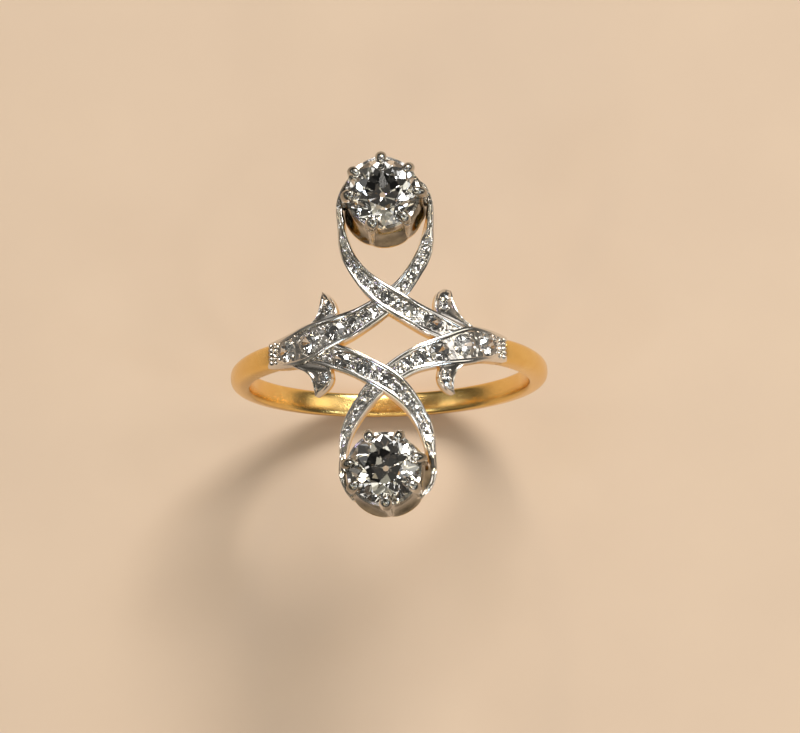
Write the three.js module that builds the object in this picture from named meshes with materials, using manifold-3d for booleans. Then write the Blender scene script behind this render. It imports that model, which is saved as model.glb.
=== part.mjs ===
// Crossover engagement ring: two old-cut diamonds in seven-claw collets, joined along the finger by four
// ribbons that cross twice and loop round the collets. White metal faces lie on yellow gold backs, and a
// plain gold shank carries the head. Millimetres. The origin is the centre of the finger hole, the finger
// lies along Y, and the head is on +Z. But for its leaves and a slight lean, the head is the same after
// half a turn about Z, so one half is built and used twice.
import * as THREE from 'three';
import { ConvexGeometry } from 'three/addons/geometries/ConvexGeometry.js';
import { mergeVertices } from 'three/addons/utils/BufferGeometryUtils.js';
import Module from 'manifold-3d';

const wasm = await Module();
wasm.setup();

// Driving dimensions
const FINGER_RADIUS = 8.7; // inside of the hoop
const HOOP_RADIUS = 9.95; // outside of the hoop
const SHANK_WIDTH_TOP = 1.56; // along the finger, at the shoulders
const SHANK_WIDTH_BOTTOM = 1.5;
const SHANK_FLANK = 0.3; // height of the rounded inner edge of the D section
const SHANK_SIDES = 12;
const SHANK_STEPS = 56;
const SHOULDER_X = 7.3; // half the length of the head across the finger
const HEAD_RADIUS = 10.75; // top of the ribbons from the finger's axis, at mid head
const HEAD_BACK_RADIUS = 9.65; // underside of the ribbons, at mid head
const FACE_DEPTH = 0.45; // thickness of the white metal face
const SEAM = 0.03; // gap between neighbouring pieces
const LOOP_RISE = 0.7; // how far the loops climb the flanks of the collets
const LOOP_RISE_START = 6.9;
const LOOP_RISE_END = 8.6;
const COLLET_Y = 8.42; // centres of the two main stones, either side of mid head
const COLLET_BASE_Z = 10.0;
const COLLET_BASE_RADIUS = 2.46;
const COLLET_TOP_RADIUS = 2.26;
const COLLET_BORE_RADIUS = 1.72;
const COLLET_RING_HEIGHT = 0.35; // gold ring under each collet
const COLLET_BAND_HEIGHT = 0.4; // straight foot under the cone
const COLLET_RIM_WIDTH = 0.1;
const COLLET_LEDGE_DEPTH = 0.9; // how far under the rim the bore starts to open out
const FLUTE_DEPTH = 0.25; // hollow scallops between the claws
const FLUTE_WALL = 0.2; // metal left round the bore behind the scallops
const RIM_DIP = 0.15; // how far the rim drops between the claws
const RIM_RISE = 0.1; // how far the rim stands over the girdle
const CLAWS = 7;
const CLAW_RADIUS = 0.24;
const CLAW_TIP_RADIUS = 0.27;
const CLAW_SIDES = 6;
const TIP_SIDES = 8;
const TIP_ROWS = 6;
const COLLET_STEPS = 6; // facets of a collet from claw to claw
const GIRDLE_RADIUS = 2.08;
const GIRDLE_Z = 13.15;
const GIRDLE_THICKNESS = 0.07;
const SAME_POINT = 1e-5; // corners closer than this are one
const STONE_SINK = 0.06; // how far a small stone's girdle lies under the face
const LOOP_THINNING = 0.45; // how much thinner the gold is along the loops than at the shoulders
const THINNING_START = 3.6;
const THINNING_END = 6.6;
const LEAF_DROOP = 0.8; // how far the leaves' tips bend down
const LEAF_STONE_LIFT = -0.18; // a leaf's face under its stone, already on its way down
const LEAF_BLUNT_END = 0.985; // share of its length where a leaf is cut off
const LEAF_STEPS = 14;
const LEAN_START = 3.5; // the head is made by hand: its ends lean outwards, the lower one also sideways
const LEAN_FULL = 6.2;
const OUTWARD_LEAN = 0.038;
const SIDEWAYS_LEAN = 0.065;
const SIDEWAYS_SHIFT = 0.14;

const YELLOW_GOLD = { color: 0xd8a548, roughness: 0.22, metalness: 1 };
const WHITE_METAL = { color: 0xd6d4cf, roughness: 0.24, metalness: 1 };
const DIAMOND = { color: 0xf2f4ee, roughness: 0.03, metalness: 0 };

// Ribbon centrelines seen from above, as [x, y, width, lift over the surface]. The crossover ribbon runs from
// its loop to the far shoulder and lies over the other ribbon, which is cut through there into a shoulder
// part and a loop part.
const CROSSOVER_PATH = [
  [-2.48, 8.75, 0.28, 0],
  [-2.61, 7.7, 0.38, 0],
  [-2.58, 6.8, 0.48, 0],
  [-2.46, 6.1, 0.66, 0],
  [-2.24, 5.35, 0.8, 0],
  [-1.88, 4.63, 0.92, 0],
  [-1.4, 3.92, 1.06, 0.02],
  [-0.76, 3.2, 1.28, 0.07],
  [0.02, 2.56, 1.46, 0.1],
  [0.88, 2.03, 1.48, 0.08],
  [1.75, 1.53, 1.46, 0.03],
  [2.6, 1.1, 1.5, 0],
  [3.45, 0.76, 1.5, -0.04],
  [4.2, 0.45, 1.5, -0.1],
  [4.95, 0.16, 1.5, -0.12],
];
const SHOULDER_PATH = [
  [-7.3, -0.01, 1.56, 0],
  [-6.3, -0.04, 1.9, 0.02],
  [-5.3, 0.07, 2.18, 0.05],
  [-4.6, 0.29, 2.14, 0.06],
  [-3.85, 0.54, 1.92, 0.05],
  [-3.1, 0.76, 1.74, 0.02],
  [-2.3, 1.02, 1.6, 0],
  [-1.55, 1.34, 1.44, -0.05],
  [-0.85, 1.72, 1.36, -0.12],
  [-0.2, 2.14, 1.3, -0.16],
];
const LOOP_PATH = [
  [0.1, 2.36, 1.25, -0.16],
  [1.02, 3.16, 1.1, -0.12],
  [1.52, 3.8, 1.02, -0.05],
  [2.02, 4.62, 0.95, 0],
  [2.36, 5.42, 0.81, 0],
  [2.55, 6.12, 0.64, 0],
  [2.66, 6.8, 0.48, 0],
  [2.66, 7.6, 0.38, 0],
  [2.5, 8.65, 0.28, 0],
];
// Small stones as [x, y, radius, lift over the surface]
const SHOULDER_STONES = [
  [-6.2, -0.02, 0.64, 0.02],
  [-4.72, 0.2, 0.7, 0.06],
  [-3.16, 0.72, 0.58, 0.02],
  [-2.0, 1.15, 0.42, -0.02],
  [-1.2, 1.53, 0.33, -0.09],
];
const CROSSOVER_STONES = [
  [-1.06, 3.54, 0.25, 0.05],
  [-0.56, 3.06, 0.29, 0.08],
  [0.1, 2.52, 0.42, 0.1],
  [0.76, 2.1, 0.25, 0.08],
  [1.44, 1.74, 0.44, 0.05],
  [2.84, 1.07, 0.5, -0.01],
];
const LOOP_STONES = [
  [1.22, 3.42, 0.29, -0.09],
  [1.6, 3.94, 0.26, -0.04],
  [1.9, 4.48, 0.24, -0.01],
];
// Leaves, each given as if it stood on the upper half: edges as [x, y] from base to tip, and the stone in it
const LEAVES = {
  upper_left: {
    inner: [[-3.2, 1.2], [-3.04, 1.85], [-3.13, 2.36], [-3.36, 2.86], [-3.64, 3.22], [-3.86, 3.42]],
    outer: [[-5.1, 1.05], [-4.48, 1.5], [-4.24, 1.89], [-4.08, 2.5], [-3.98, 3.04], [-3.86, 3.42]],
    stone: [-3.6, 2.14, 0.31, LEAF_STONE_LIFT],
  },
  upper_right: {
    inner: [[3.2, 1.35], [3.0, 2.03], [3.06, 2.66], [3.24, 3.05], [3.58, 3.3], [3.97, 3.28]],
    outer: [[5.8, 0.6], [5.36, 0.98], [4.72, 1.42], [4.34, 1.95], [4.13, 2.5], [4.06, 2.99], [3.97, 3.28]],
    stone: [3.6, 2.3, 0.34, LEAF_STONE_LIFT],
  },
  lower_right: {
    inner: [[-3.3, 1.4], [-3.1, 2.15], [-3.17, 2.6], [-3.42, 2.93], [-3.72, 3.1], [-4.02, 3.14]],
    outer: [[-5.2, 1.0], [-4.52, 1.49], [-4.26, 1.78], [-4.09, 2.15], [-4.0, 2.7], [-4.02, 3.14]],
    stone: [-3.58, 2.12, 0.31, LEAF_STONE_LIFT],
  },
  lower_left: {
    inner: [[3.6, 1.2], [3.43, 1.8], [3.42, 2.24], [3.62, 2.58], [4.02, 2.87], [4.44, 3.02]],
    outer: [[6.2, 0.8], [5.6, 1.2], [5.02, 1.54], [4.7, 1.92], [4.56, 2.39], [4.5, 2.7], [4.44, 3.02]],
    stone: [3.95, 2.08, 0.36, LEAF_STONE_LIFT],
  },
};
// Rings of an old-cut brilliant as [corners, radius, height, half steps turned], in shares of its radius
const TABLE_RING = [8, 0.52, 0.4, 0];
const STAR_RING = [8, 0.79, 0.225, 1];
const GIRDLE_CORNERS = 16;
const PAVILION_RING = [8, 0.42, -0.53, 1];
const CULET_RING = [8, 0.08, -0.87, 0];

// The head's surfaces: radii from the finger's axis, which fall from mid head to the shoulders
const ease = (x) => Math.min(Math.abs(x) / SHOULDER_X, 1) ** 2;
const faceRadius = (x) => THREE.MathUtils.lerp(HEAD_RADIUS, HOOP_RADIUS, ease(x));
const backRadius = (x) => THREE.MathUtils.lerp(HEAD_BACK_RADIUS, FINGER_RADIUS, ease(x));
const seamRadius = (x) => faceRadius(x) - FACE_DEPTH;
const rise = (y) => LOOP_RISE * THREE.MathUtils.smoothstep(Math.abs(y), LOOP_RISE_START, LOOP_RISE_END);

// A point of the head: x and y as seen from above on the face, and a radius from the finger's axis
function headPoint(x, y, radius) {
  const angle = Math.asin(x / faceRadius(x));
  const lifted = radius + rise(y);
  return new THREE.Vector3(lifted * Math.sin(angle), y, lifted * Math.cos(angle));
}

function movePoints(geometry, place) {
  const position = geometry.attributes.position;
  const point = new THREE.Vector3();
  for (let i = 0; i < position.count; i++) {
    point.fromBufferAttribute(position, i);
    const moved = place(point);
    position.setXYZ(i, moved.x, moved.y, moved.z);
  }
  return geometry;
}

// Solids for joining and cutting, and back
function toSolid(geometry) {
  const bare = geometry.clone();
  bare.deleteAttribute('normal');
  bare.deleteAttribute('uv');
  const merged = mergeVertices(bare, SAME_POINT);
  return new wasm.Manifold(new wasm.Mesh({
    numProp: 3,
    vertProperties: new Float32Array(merged.attributes.position.array),
    triVerts: new Uint32Array(merged.index.array),
  }));
}

function toGeometry(solid) {
  const mesh = solid.getMesh();
  const geometry = new THREE.BufferGeometry();
  geometry.setAttribute('position', new THREE.BufferAttribute(mesh.vertProperties, 3));
  geometry.setIndex(new THREE.BufferAttribute(mesh.triVerts, 1));
  const flat = geometry.toNonIndexed();
  flat.computeVertexNormals();
  return flat;
}

function cut(geometry, cutters) {
  let solid = toSolid(geometry);
  for (const cutter of cutters) {
    solid = solid.subtract(toSolid(cutter));
  }
  return toGeometry(solid);
}

const halfTurn = (geometry) => geometry.clone().rotateZ(Math.PI);

function curveThrough(points) {
  return new THREE.CatmullRomCurve3(points.map(([x, y, z = 0]) => new THREE.Vector3(x, y, z)));
}

// A strip along a path, between two radii
function strip(path, outerRadius, innerRadius, extraWidth = 0) {
  const curve = curveThrough(path);
  const lifts = curveThrough(path.map(([x, y, width, lift]) => [lift, 0]));
  return movePoints(new THREE.BoxGeometry(1, 1, 1, 2 * path.length, 1, 1), (corner) => {
    const along = corner.x + 0.5;
    const centre = curve.getPoint(along);
    const heading = curve.getTangent(along).setZ(0).normalize();
    const offset = corner.y * (centre.z + extraWidth);
    const x = centre.x - heading.y * offset;
    const y = centre.y + heading.x * offset;
    const lift = lifts.getPoint(along).x;
    return headPoint(x, y, corner.z > 0 ? outerRadius(x) + lift : innerRadius(x, y, lift));
  });
}

const CUTTER_REACH = 1.5;
const thinning = (y) => LOOP_THINNING * THREE.MathUtils.smoothstep(Math.abs(y), THINNING_START, THINNING_END);
const face = (path) => strip(path, faceRadius, (x, y, lift) => seamRadius(x) + lift + SEAM / 2);
const back = (path) => strip(path, (x) => seamRadius(x) - SEAM / 2, (x, y) => backRadius(x) + thinning(y));
const stripCutter = (path) => strip(
  path,
  (x) => faceRadius(x) + CUTTER_REACH,
  (x) => backRadius(x) - CUTTER_REACH,
  2 * SEAM,
);

// A turned shape about Z from [radius, height] pairs, listed from the bottom upwards on the outside
function turned(profile, segments) {
  const points = profile.map(([radius, height]) => new THREE.Vector2(radius, height));
  return new THREE.LatheGeometry(points, segments).rotateX(Math.PI / 2);
}

// Stands a shape made about Z on the head's face at x, y
function standOnFace(geometry, [x, y, , lift]) {
  const foot = headPoint(x, y, faceRadius(x) + lift);
  return geometry.rotateY(Math.asin(x / faceRadius(x))).translate(foot.x, foot.y, foot.z);
}

// Small eight-sided stone, and the seat it lies in
const STONE_SIDES = 8;
const CROWN_SHARE = 0.34;
const TABLE_SHARE = 0.58;
const PAVILION_SHARE = 0.6;
const PAVILION_LIMIT = FACE_DEPTH - STONE_SINK - 4 * SEAM;
const pavilion = (radius) => Math.min(PAVILION_SHARE * radius, PAVILION_LIMIT);

function smallStone(stone) {
  const radius = stone[2];
  const crown = CROWN_SHARE * radius;
  const profile = [
    [0, -pavilion(radius)],
    [radius, 0],
    [radius, GIRDLE_THICKNESS],
    [TABLE_SHARE * radius, crown],
    [0, crown],
  ];
  return standOnFace(turned(profile, STONE_SIDES).translate(0, 0, -STONE_SINK), stone);
}

function seat(stone) {
  const radius = stone[2];
  const wide = radius + SEAM;
  const profile = [[0, -pavilion(radius) - 2 * SEAM], [wide, -SEAM], [wide, CUTTER_REACH], [0, CUTTER_REACH]];
  return standOnFace(turned(profile, STONE_SIDES).translate(0, 0, -STONE_SINK), stone);
}

function brilliant(radius, grow = 0) {
  const girdle = GIRDLE_THICKNESS / 2 / radius;
  const rings = [
    TABLE_RING,
    STAR_RING,
    [GIRDLE_CORNERS, 1, girdle, 0],
    [GIRDLE_CORNERS, 1, -girdle, 0],
    PAVILION_RING,
    CULET_RING,
  ];
  const points = rings.flatMap(([count, share, height, half]) =>
    Array.from({ length: count }, (_, i) => {
      const angle = ((i + half / 2) / count) * 2 * Math.PI;
      const reach = share * radius + grow;
      return new THREE.Vector3(reach * Math.cos(angle), reach * Math.sin(angle), height * (radius + grow));
    }),
  );
  return new ConvexGeometry(points);
}

// Scalloped collet with its claws, about Z at the origin of the head's plane
const clawAngle = (i) => Math.PI / 2 + (i / CLAWS) * 2 * Math.PI;
const betweenClaws = (angle) => Math.abs(Math.sin(((angle - Math.PI / 2) * CLAWS) / 2));
const RIM_Z = GIRDLE_Z + RIM_RISE;

function collet() {
  const height = RIM_Z - COLLET_BASE_Z;
  const waist = (COLLET_BASE_RADIUS + COLLET_TOP_RADIUS) / 2;
  const profile = [
    [COLLET_BORE_RADIUS, 0],
    [COLLET_BASE_RADIUS, 0],
    [COLLET_BASE_RADIUS, COLLET_BAND_HEIGHT],
    [waist, height / 2],
    [COLLET_TOP_RADIUS, height],
    [COLLET_TOP_RADIUS - COLLET_RIM_WIDTH, height],
    [COLLET_BORE_RADIUS, height - COLLET_LEDGE_DEPTH],
    [COLLET_BORE_RADIUS, 0],
  ];
  const wall = movePoints(turned(profile, CLAWS * COLLET_STEPS), (point) => {
    const reach = Math.hypot(point.x, point.y);
    const gap = betweenClaws(Math.atan2(point.y, point.x));
    const up = THREE.MathUtils.clamp(point.z / height, 0, 1);
    const outside = reach > COLLET_BORE_RADIUS + FLUTE_WALL;
    const hollow = outside ? FLUTE_DEPTH * gap * Math.sin(Math.PI * up) : 0;
    const dip = point.z > height - RIM_DIP ? RIM_DIP * gap : 0;
    const scale = (reach - hollow) / reach;
    return new THREE.Vector3(point.x * scale, point.y * scale, COLLET_BASE_Z + point.z - dip);
  });
  let solid = toSolid(wall);
  const middle = (COLLET_BASE_RADIUS + COLLET_TOP_RADIUS - CLAW_RADIUS) / 2;
  for (let i = 0; i < CLAWS; i++) {
    const shaft = new THREE.CylinderGeometry(CLAW_RADIUS, CLAW_RADIUS, height, CLAW_SIDES)
      .rotateX(Math.PI / 2)
      .rotateY(-Math.atan((COLLET_BASE_RADIUS - COLLET_TOP_RADIUS) / height))
      .translate(middle, 0, COLLET_BASE_Z + height / 2 + SEAM);
    const tip = new THREE.SphereGeometry(CLAW_TIP_RADIUS, TIP_SIDES, TIP_ROWS)
      .translate(COLLET_TOP_RADIUS - CLAW_RADIUS / 2, 0, RIM_Z + CLAW_RADIUS / 2);
    for (const piece of [shaft, tip]) {
      solid = solid.add(toSolid(piece.rotateZ(clawAngle(i))));
    }
  }
  const stone = toSolid(brilliant(GIRDLE_RADIUS, SEAM).translate(0, 0, GIRDLE_Z));
  return toGeometry(solid.subtract(stone)).translate(0, COLLET_Y, 0);
}

const COLLET_RING_BORE = COLLET_BORE_RADIUS - COLLET_RIM_WIDTH;
const colletRing = () => turned([
  [COLLET_RING_BORE, COLLET_BASE_Z - COLLET_RING_HEIGHT],
  [COLLET_BASE_RADIUS - COLLET_RIM_WIDTH, COLLET_BASE_Z - COLLET_RING_HEIGHT],
  [COLLET_BASE_RADIUS, COLLET_BASE_Z - SEAM],
  [COLLET_RING_BORE, COLLET_BASE_Z - SEAM],
  [COLLET_RING_BORE, COLLET_BASE_Z - COLLET_RING_HEIGHT],
], CLAWS * COLLET_STEPS).translate(0, COLLET_Y, 0);

// The room a collet and its ring take, for the loops that end against them
const colletCutter = () => turned([
  [0, COLLET_BASE_Z - CUTTER_REACH],
  [COLLET_BASE_RADIUS + SEAM, COLLET_BASE_Z - CUTTER_REACH],
  [COLLET_BASE_RADIUS + SEAM, COLLET_BASE_Z],
  [COLLET_TOP_RADIUS + CLAW_RADIUS / 2 + 2 * SEAM, RIM_Z],
  [0, RIM_Z],
], CLAWS * COLLET_STEPS).translate(0, COLLET_Y, 0);

// Leaf between two radii, carried from base to tip between its edges, with its face outwards
function leaf({ inner, outer }, outerRadius, innerRadius) {
  const edges = [inner, outer].sort(([[a]], [[b]]) => b - a).map(curveThrough);
  return movePoints(new THREE.BoxGeometry(1, 1, 1, LEAF_STEPS, 1, 1), (corner) => {
    const along = corner.x + 0.5;
    const [right, left] = edges.map((edge) => edge.getPointAt(LEAF_BLUNT_END * along));
    const { x, y } = right.lerp(left, corner.y + 0.5);
    const point = headPoint(x, y, corner.z > 0 ? outerRadius(x) : innerRadius(x));
    return point.setZ(point.z - LEAF_DROOP * along ** 2);
  });
}

// Shank: a D section carried round the finger from shoulder to shoulder
function shank() {
  const startAngle = Math.asin(SHOULDER_X / HOOP_RADIUS) + (2 * SEAM) / HOOP_RADIUS;
  const sweep = 2 * (Math.PI - startAngle);
  const rod = new THREE.CylinderGeometry(1, 1, 1, SHANK_SIDES, SHANK_STEPS);
  const thickness = HOOP_RADIUS - FINGER_RADIUS;
  return movePoints(rod, (point) => {
    const angle = startAngle + (point.y + 0.5) * sweep;
    const bottom = (1 - Math.cos(angle)) / 2;
    const halfWidth = THREE.MathUtils.lerp(SHANK_WIDTH_TOP, SHANK_WIDTH_BOTTOM, bottom) / 2;
    const crown = point.x > 0 ? thickness - SHANK_FLANK : SHANK_FLANK;
    const radius = FINGER_RADIUS + SHANK_FLANK + point.x * crown;
    return new THREE.Vector3(radius * Math.sin(angle), point.z * halfWidth, radius * Math.cos(angle));
  });
}

// Assembly
const ring = new THREE.Group();
const halves = [new THREE.Group(), new THREE.Group()];
halves[1].rotation.z = Math.PI;
ring.add(...halves);

function addMesh(parent, name, geometry, finish) {
  const mesh = new THREE.Mesh(geometry, new THREE.MeshStandardMaterial(finish));
  mesh.name = name;
  parent.add(mesh);
}

// Leans a piece of one half outwards, and in the lower half sideways too
function leaned(geometry, lower) {
  return movePoints(geometry.clone(), ({ x, y, z }) => {
    const share = THREE.MathUtils.smoothstep(Math.abs(y), LEAN_START, LEAN_FULL);
    const outwards = Math.sign(y) * OUTWARD_LEAN * Math.max(GIRDLE_Z - z, 0);
    const sideways = SIDEWAYS_SHIFT + SIDEWAYS_LEAN * Math.max(z - COLLET_BASE_Z, 0);
    return new THREE.Vector3(x + lower * share * sideways, y - share * outwards, z);
  });
}

// The same piece in both halves, with the word that tells the two apart
function addPair(names, geometry, finish) {
  names.forEach((name, i) => addMesh(halves[i], name, leaned(geometry, i), finish));
}
const upperLower = (name, rest = '') => [`${name}_upper${rest}`, `${name}_lower${rest}`];
const leftRight = (name, rest = '') => [`${name}_left${rest}`, `${name}_right${rest}`];

function addRibbon(name, path, cutters, stones, sides) {
  addPair(sides(`${name}_face`), cut(face(path), [...cutters, ...stones.map(seat)]), WHITE_METAL);
  addPair(sides(`${name}_back`), cut(back(path), cutters), YELLOW_GOLD);
}

function addStones(name, stones, sides) {
  stones.forEach((stone, i) => addPair(sides(name, `_${i + 1}`), smallStone(stone), DIAMOND));
}

const crossoverCutter = stripCutter(CROSSOVER_PATH);
const shoulderCutter = stripCutter(SHOULDER_PATH);
const farShoulderCutter = halfTurn(shoulderCutter);
const collar = colletCutter();

addMesh(ring, 'shank', shank(), YELLOW_GOLD);
const crossoverCutters = [farShoulderCutter, collar];
addRibbon('crossover', CROSSOVER_PATH, crossoverCutters, CROSSOVER_STONES, upperLower);
addRibbon('shoulder', SHOULDER_PATH, [crossoverCutter], SHOULDER_STONES, leftRight);
addRibbon('loop', LOOP_PATH, [crossoverCutter, collar], LOOP_STONES, upperLower);
addStones('crossover_diamond', CROSSOVER_STONES, upperLower);
addStones('shoulder_diamond', SHOULDER_STONES, leftRight);
addStones('loop_diamond', LOOP_STONES, upperLower);

addPair(upperLower('collet'), collet(), WHITE_METAL);
addPair(upperLower('collet_ring'), colletRing(), YELLOW_GOLD);
addPair(upperLower('main_diamond'), brilliant(GIRDLE_RADIUS).translate(0, COLLET_Y, GIRDLE_Z), DIAMOND);

for (const [place, shape] of Object.entries(LEAVES)) {
  const half = halves[place.startsWith('upper') ? 0 : 1];
  const cutters = [crossoverCutter, shape.stone[0] < 0 ? shoulderCutter : farShoulderCutter];
  const front = leaf(shape, faceRadius, (x) => seamRadius(x) + SEAM / 2);
  const rear = leaf(shape, (x) => seamRadius(x) - SEAM / 2, backRadius);
  addMesh(half, `leaf_face_${place}`, cut(front, [...cutters, seat(shape.stone)]), WHITE_METAL);
  addMesh(half, `leaf_back_${place}`, cut(rear, cutters), YELLOW_GOLD);
  addMesh(half, `leaf_diamond_${place}`, smallStone(shape.stone), DIAMOND);
}

export default ring;
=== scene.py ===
"""Looks of the crossover engagement ring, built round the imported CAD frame.

Shapes are worked out in millimetres, in the CAD's frame (finger along Y, head on +Z), and scaled to metres
when a mesh is made.
"""

import math
import random
from functools import partial

import bmesh
import bpy
import numpy as np
from mathutils import Matrix, Vector


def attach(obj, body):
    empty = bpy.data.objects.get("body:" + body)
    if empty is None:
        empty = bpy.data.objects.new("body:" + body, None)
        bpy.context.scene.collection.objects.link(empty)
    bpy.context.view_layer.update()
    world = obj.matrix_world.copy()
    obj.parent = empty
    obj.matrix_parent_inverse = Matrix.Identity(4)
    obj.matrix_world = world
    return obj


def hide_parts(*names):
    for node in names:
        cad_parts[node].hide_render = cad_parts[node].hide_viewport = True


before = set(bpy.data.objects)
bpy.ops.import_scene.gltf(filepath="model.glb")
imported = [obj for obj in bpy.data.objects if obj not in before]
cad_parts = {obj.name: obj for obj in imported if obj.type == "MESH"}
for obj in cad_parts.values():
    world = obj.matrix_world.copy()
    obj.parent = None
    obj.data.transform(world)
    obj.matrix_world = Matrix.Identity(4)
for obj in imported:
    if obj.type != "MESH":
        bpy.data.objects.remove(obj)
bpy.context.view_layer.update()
MM = 0.001

# Driving dimensions, the same as the CAD's, in millimetres
FINGER_RADIUS = 8.7  # inside of the hoop
HOOP_RADIUS = 9.95  # outside of the hoop
SHANK_WIDTH_TOP = 1.56  # along the finger, at the shoulders
SHANK_WIDTH_BOTTOM = 1.5
SHANK_FLANK = 0.3  # rounded inner edge of the D section
SHOULDER_X = 7.3  # half the length of the head across the finger
HEAD_RADIUS = 10.75  # top of the ribbons from the finger's axis, at mid head
HEAD_BACK_RADIUS = 9.65  # underside of the ribbons, at mid head
FACE_DEPTH = 0.45  # thickness of the white metal face
SEAM = 0.012  # half the gap between a face and its back
LOOP_RISE = 0.7  # how far the loops climb the flanks of the collets
LOOP_RISE_START = 6.9
LOOP_RISE_END = 8.6
# The two collets and their stones
COLLET_Y = 8.42  # from mid head to a stone's centre
BASE_Z = 10.0
BASE_RADIUS = 2.46
TOP_RADIUS = 2.26
BORE_RADIUS = 1.72
RING_HEIGHT = 0.35
CLAWS = 7
GIRDLE_RADIUS = 2.08
GIRDLE_Z = 13.15
RIM_Z = GIRDLE_Z + 0.1

# Ribbon centrelines seen from above, as (x, y, width, lift over the head's surface)
CROSSOVER_PATH = [
    (-1.9, 9.98, 0.1, 0), (-2.22, 9.45, 0.2, 0), (-2.48, 8.75, 0.28, 0), (-2.61, 7.7, 0.36, 0),
    (-2.58, 6.8, 0.48, 0), (-2.46, 6.1, 0.66, 0), (-2.24, 5.35, 0.8, 0), (-1.88, 4.63, 0.92, 0),
    (-1.4, 3.92, 1.06, 0.02), (-0.76, 3.2, 1.28, 0.07), (0.02, 2.56, 1.46, 0.1), (0.88, 2.03, 1.48, 0.08),
    (1.75, 1.53, 1.46, 0.03), (2.6, 1.1, 1.5, 0), (3.45, 0.76, 1.5, -0.04), (4.2, 0.45, 1.5, -0.1),
    (4.95, 0.16, 1.5, -0.12),
]
SHOULDER_PATH = [
    (-7.3, -0.01, 1.56, 0), (-6.3, -0.04, 1.9, 0.02), (-5.3, 0.07, 2.18, 0.05), (-4.6, 0.29, 2.14, 0.06),
    (-3.85, 0.54, 1.92, 0.05), (-3.1, 0.76, 1.74, 0.02), (-2.3, 1.02, 1.6, 0), (-1.55, 1.34, 1.44, -0.05),
    (-0.85, 1.72, 1.36, -0.12), (-0.2, 2.14, 1.3, -0.16),
]
LOOP_PATH = [
    (0.1, 2.36, 1.25, -0.16), (1.02, 3.16, 1.1, -0.12), (1.52, 3.8, 1.02, -0.05), (2.02, 4.62, 0.95, 0),
    (2.36, 5.42, 0.81, 0), (2.55, 6.12, 0.64, 0), (2.66, 6.8, 0.47, 0), (2.66, 7.6, 0.36, 0),
    (2.5, 8.65, 0.28, 0), (2.24, 9.4, 0.2, 0), (1.9, 9.98, 0.1, 0),
]
# Small stones as (x, y, radius, length over width)
SHOULDER_STONES = [
    (-6.2, -0.02, 0.64, 1.08), (-4.72, 0.2, 0.7, 1.04), (-3.16, 0.72, 0.58, 1.12),
    (-2.0, 1.15, 0.42, 1.05), (-1.2, 1.53, 0.33, 1),
]
CROSSOVER_STONES = [
    (-1.06, 3.54, 0.25, 1), (-0.56, 3.06, 0.29, 1), (0.1, 2.52, 0.42, 1.05), (0.76, 2.1, 0.25, 1),
    (1.44, 1.74, 0.44, 1.08), (2.84, 1.07, 0.47, 1.35),
]
LOOP_STONES = [
    (1.22, 3.42, 0.29, 1), (1.6, 3.94, 0.26, 1), (1.9, 4.48, 0.24, 1),
]
# Grain-set stones too small for nodes of their own, given in the same way
CROSSOVER_GRAIN_STONES = [
    (-1.45, 4.02, 0.22, 1), (-1.77, 4.5, 0.2, 1), (-2.02, 4.96, 0.18, 1), (-2.21, 5.4, 0.16, 1),
]
LOOP_GRAIN_STONES = [
    (2.16, 4.98, 0.21, 1), (2.34, 5.43, 0.18, 1), (2.46, 5.84, 0.15, 1),
]
# Leaves, each given as if it stood on the upper half: its edges as (x, y) from base to tip, its stone as
# (x, y, radius, length over width), the depth of its dish and the height of its keel.
LEAVES = {
    "upper_left": {
        "inner": [(-3.2, 1.2), (-3.04, 1.85), (-3.13, 2.36), (-3.36, 2.86), (-3.64, 3.22), (-3.86, 3.42)],
        "outer": [(-5.1, 1.05), (-4.48, 1.5), (-4.24, 1.89), (-4.08, 2.5), (-3.98, 3.04), (-3.86, 3.42)],
        "stone": (-3.6, 2.14, 0.31, 1.1),
        "dish": 0.1,
        "keel": 0.16,
    },
    "upper_right": {
        "inner": [(3.2, 1.35), (3.0, 2.03), (3.06, 2.66), (3.24, 3.05), (3.58, 3.3), (3.97, 3.28)],
        "outer": [
            (5.8, 0.6), (5.36, 0.98), (4.72, 1.42), (4.34, 1.95), (4.13, 2.5), (4.06, 2.99), (3.97, 3.28),
        ],
        "stone": (3.6, 2.3, 0.34, 1.15),
        "dish": 0.12,
        "keel": 0.1,
    },
    "lower_right": {
        "inner": [(-3.3, 1.4), (-3.1, 2.15), (-3.17, 2.6), (-3.42, 2.93), (-3.72, 3.1), (-4.02, 3.14)],
        "outer": [(-5.2, 1.0), (-4.52, 1.49), (-4.26, 1.78), (-4.09, 2.15), (-4.0, 2.7), (-4.02, 3.14)],
        "stone": (-3.58, 2.12, 0.31, 1.1),
        "dish": 0.09,
        "keel": 0.1,
    },
    "lower_left": {
        "inner": [(3.6, 1.2), (3.43, 1.8), (3.42, 2.24), (3.62, 2.58), (4.02, 2.87), (4.44, 3.02)],
        "outer": [(6.2, 0.8), (5.6, 1.2), (5.02, 1.54), (4.7, 1.92), (4.56, 2.39), (4.5, 2.7), (4.44, 3.02)],
        "stone": (3.95, 2.08, 0.36, 1.1),
        "dish": 0.16,
        "keel": 0.04,
    },
}


# ---- the head's surfaces
def lerp(a, b, t):
    return a + (b - a) * t


def smoothstep(value, low, high):
    t = np.clip((value - low) / (high - low), 0, 1)
    return t * t * (3 - 2 * t)


def falloff(x):
    """0 at mid head and 1 at the shoulders."""
    return np.minimum(np.abs(x) / SHOULDER_X, 1) ** 2


def face_radius(x):
    return lerp(HEAD_RADIUS, HOOP_RADIUS, falloff(x))


def back_radius(x):
    return lerp(HEAD_BACK_RADIUS, FINGER_RADIUS, falloff(x))


def seam_radius(x):
    return face_radius(x) - FACE_DEPTH


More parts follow.
